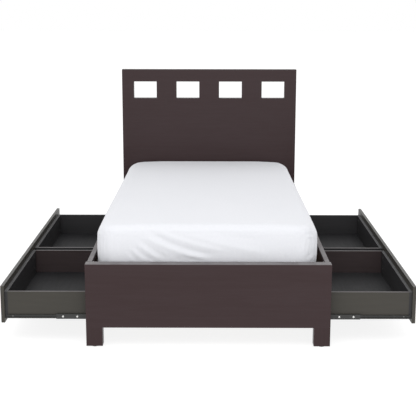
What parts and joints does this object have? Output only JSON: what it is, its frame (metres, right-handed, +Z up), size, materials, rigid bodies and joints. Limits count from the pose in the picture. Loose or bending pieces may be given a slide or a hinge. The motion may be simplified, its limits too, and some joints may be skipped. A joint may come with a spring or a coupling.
{
  "type": "platform bed with storage drawers",
  "caption": "Twin platform bed in dark wood with a windowed headboard, a low footboard, a mattress in a fitted sheet and wide storage drawers that slide out of both long sides.",
  "frame": {"origin": "on the floor under the middle of the bed's outline with the drawers pulled out", "axes": "+Z up, +Y from the footboard to the headboard, +X to the right seen from the foot"},
  "size_m": [1.832, 2.025, 1.074],
  "materials": {
    "espresso_wood": "dark espresso stain, satin lacquer",
    "drawer_board": "matt dark laminate on board",
    "drawer_bottom": "matt dark hardboard",
    "pine": "bare sawn pine",
    "carcass_board": "matt dark laminate on board",
    "slide_steel": "black coated steel",
    "zinc_steel": "zinc plated",
    "glide_plastic": "black nylon",
    "mattress_fabric": "white cotton fitted sheet"
  },
  "bodies": {
    "bed_frame": {"headboard_panel": "espresso_wood", "headboard_leg_left": "espresso_wood", "headboard_leg_right": "espresso_wood", "footboard_panel": "espresso_wood", "footboard_leg_left": "espresso_wood", "footboard_leg_right": "espresso_wood", "side_rail_left": "espresso_wood", "side_rail_right": "espresso_wood", "end_panel_left": "espresso_wood", "end_panel_right": "espresso_wood", "slat_ledger_left": "pine", "slat_ledger_right": "pine", "slats": "pine", "centre_beam": "pine", "centre_legs": "pine", "partition_mid": "carcass_board", "partition_head": "carcass_board", "spine_board": "carcass_board", "floor_glides": "glide_plastic", "corner_brackets": "zinc_steel", "bracket_screws": "zinc_steel", "slide_fixed_members": "slide_steel", "mattress": "mattress_fabric"},
    "drawer_foot_left": {"drawer_foot_left_front": "espresso_wood", "drawer_foot_left_box_front": "drawer_board", "drawer_foot_left_side_foot": "drawer_board", "drawer_foot_left_side_head": "drawer_board", "drawer_foot_left_back": "drawer_board", "drawer_foot_left_bottom": "drawer_bottom", "drawer_foot_left_slide_members": "slide_steel", "drawer_foot_left_screws": "zinc_steel"},
    "drawer_foot_left_slides": {"drawer_foot_left_slide_middles": "slide_steel"},
    "drawer_foot_right": {"drawer_foot_right_front": "espresso_wood", "drawer_foot_right_box_front": "drawer_board", "drawer_foot_right_side_foot": "drawer_board", "drawer_foot_right_side_head": "drawer_board", "drawer_foot_right_back": "drawer_board", "drawer_foot_right_bottom": "drawer_bottom", "drawer_foot_right_slide_members": "slide_steel", "drawer_foot_right_screws": "zinc_steel"},
    "drawer_foot_right_slides": {"drawer_foot_right_slide_middles": "slide_steel"},
    "drawer_head_left": {"drawer_head_left_front": "espresso_wood", "drawer_head_left_box_front": "drawer_board", "drawer_head_left_side_foot": "drawer_board", "drawer_head_left_side_head": "drawer_board", "drawer_head_left_back": "drawer_board", "drawer_head_left_bottom": "drawer_bottom", "drawer_head_left_slide_members": "slide_steel", "drawer_head_left_screws": "zinc_steel"},
    "drawer_head_left_slides": {"drawer_head_left_slide_middles": "slide_steel"},
    "drawer_head_right": {"drawer_head_right_front": "espresso_wood", "drawer_head_right_box_front": "drawer_board", "drawer_head_right_side_foot": "drawer_board", "drawer_head_right_side_head": "drawer_board", "drawer_head_right_back": "drawer_board", "drawer_head_right_bottom": "drawer_bottom", "drawer_head_right_slide_members": "slide_steel", "drawer_head_right_screws": "zinc_steel"},
    "drawer_head_right_slides": {"drawer_head_right_slide_middles": "slide_steel"}
  },
  "joints": [
    {"name": "drawer_foot_left_pull", "type": "slide", "parent": "bed_frame", "child": "drawer_foot_left", "axis": [-1, 0, 0], "range_m": [-0.386, 0]},
    {"name": "drawer_foot_left_extend", "type": "slide", "parent": "bed_frame", "child": "drawer_foot_left_slides", "axis": [-1, 0, 0], "range_m": [-0.193, 0]},
    {"name": "drawer_foot_right_pull", "type": "slide", "parent": "bed_frame", "child": "drawer_foot_right", "axis": [1, 0, 0], "range_m": [-0.386, 0]},
    {"name": "drawer_foot_right_extend", "type": "slide", "parent": "bed_frame", "child": "drawer_foot_right_slides", "axis": [1, 0, 0], "range_m": [-0.193, 0]},
    {"name": "drawer_head_left_pull", "type": "slide", "parent": "bed_frame", "child": "drawer_head_left", "axis": [-1, 0, 0], "range_m": [-0.386, 0]},
    {"name": "drawer_head_left_extend", "type": "slide", "parent": "bed_frame", "child": "drawer_head_left_slides", "axis": [-1, 0, 0], "range_m": [-0.193, 0]},
    {"name": "drawer_head_right_pull", "type": "slide", "parent": "bed_frame", "child": "drawer_head_right", "axis": [1, 0, 0], "range_m": [-0.386, 0]},
    {"name": "drawer_head_right_extend", "type": "slide", "parent": "bed_frame", "child": "drawer_head_right_slides", "axis": [1, 0, 0], "range_m": [-0.193, 0]}
  ],
  "couplings": [
    {"joint": "drawer_foot_left_extend", "follows": "drawer_foot_left_pull", "ratio": 0.5},
    {"joint": "drawer_foot_right_extend", "follows": "drawer_foot_right_pull", "ratio": 0.5},
    {"joint": "drawer_head_left_extend", "follows": "drawer_head_left_pull", "ratio": 0.5},
    {"joint": "drawer_head_right_extend", "follows": "drawer_head_right_pull", "ratio": 0.5}
  ]
}
